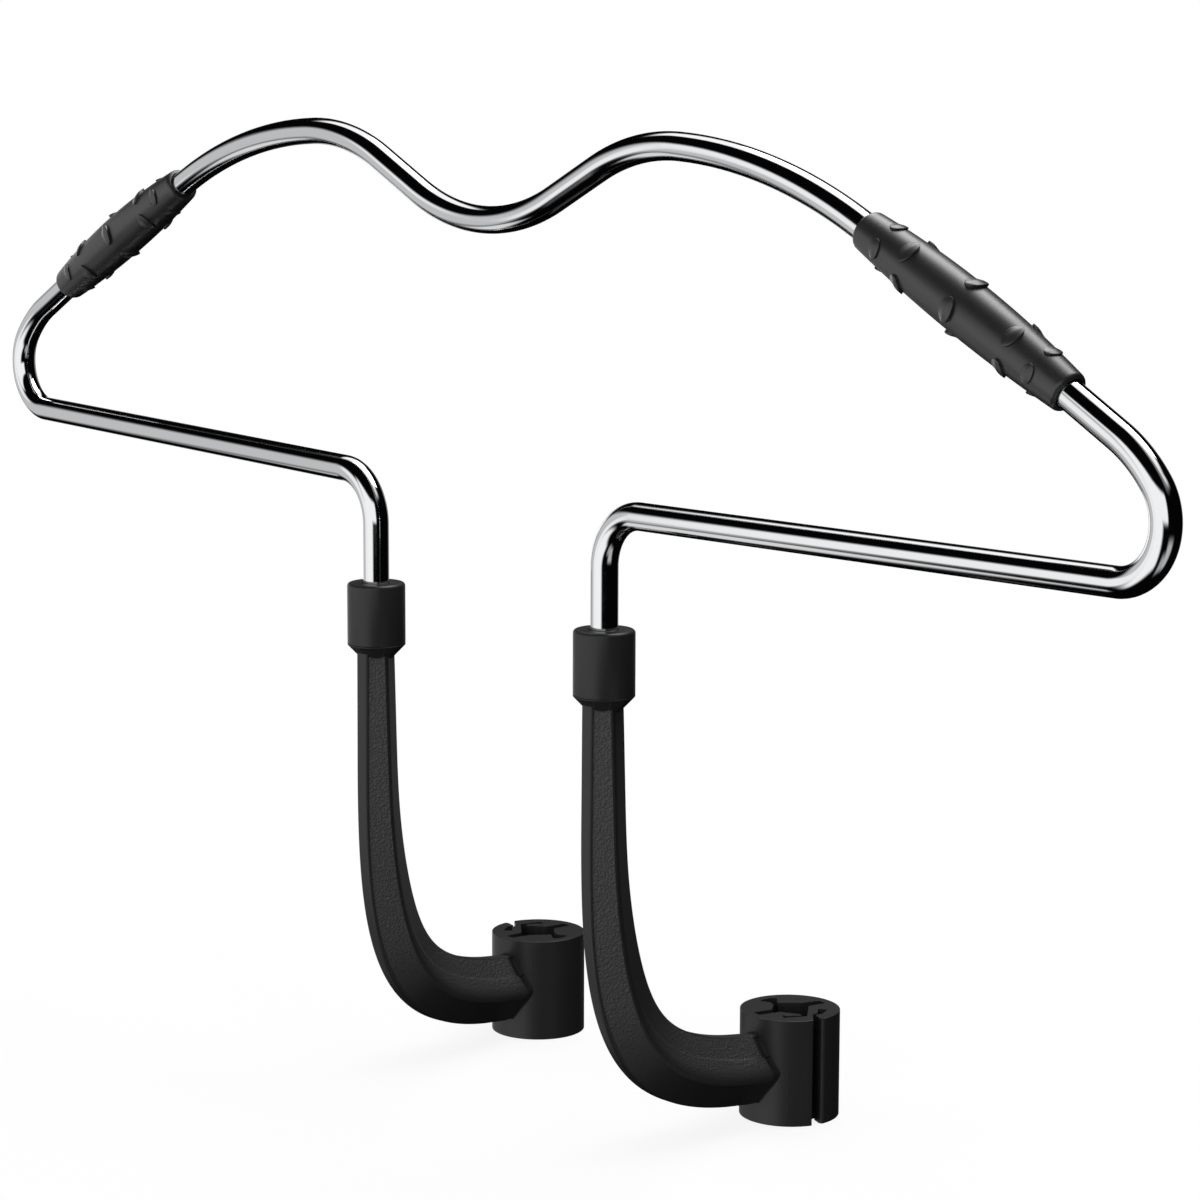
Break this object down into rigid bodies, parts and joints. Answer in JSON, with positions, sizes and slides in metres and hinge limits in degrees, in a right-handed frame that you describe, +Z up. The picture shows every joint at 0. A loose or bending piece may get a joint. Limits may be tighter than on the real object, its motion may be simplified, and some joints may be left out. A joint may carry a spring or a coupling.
{
  "type": "car seat hanger",
  "caption": "Bent chromed-rod clothes hanger with rubber shoulder sleeves, on swivelling J-shaped plastic legs whose split clamps grip the posts of a car headrest.",
  "frame": {"origin": "midway between the two clamps at half their height, as they stand when both legs point straight back, on the hanger's middle plane", "axes": "+Z up, +Y from the hanger back towards the headrest, +X along the hanger to its right end as seen from the side where clothes hang"},
  "size_m": [0.4666, 0.0874, 0.2605],
  "materials": {
    "chromed_steel": "polished chrome plating",
    "black_rubber": "satin moulded rubber",
    "black_plastic": "matt moulded plastic, finely grained panels on the legs",
    "spring_steel": "blackened spring steel"
  },
  "bodies": {
    "hanger": {"wire_frame": "chromed_steel", "left_grip": "black_rubber", "right_grip": "black_rubber", "left_retaining_ring": "spring_steel", "right_retaining_ring": "spring_steel"},
    "right_support": {"right_leg": "black_plastic", "right_collar": "black_plastic"},
    "left_support": {"left_leg": "black_plastic", "left_collar": "black_plastic"}
  },
  "joints": [
    {"name": "right_swivel", "type": "hinge", "parent": "hanger", "child": "right_support", "pos_m": [0.04795, -0.0664, 0.1068], "axis": [0, 0, 1], "range_deg": [-62.1, 22.9]},
    {"name": "left_swivel", "type": "hinge", "parent": "hanger", "child": "left_support", "pos_m": [-0.04795, -0.0664, 0.1068], "axis": [0, 0, -1], "range_deg": [-49.5, 35.5]}
  ]
}
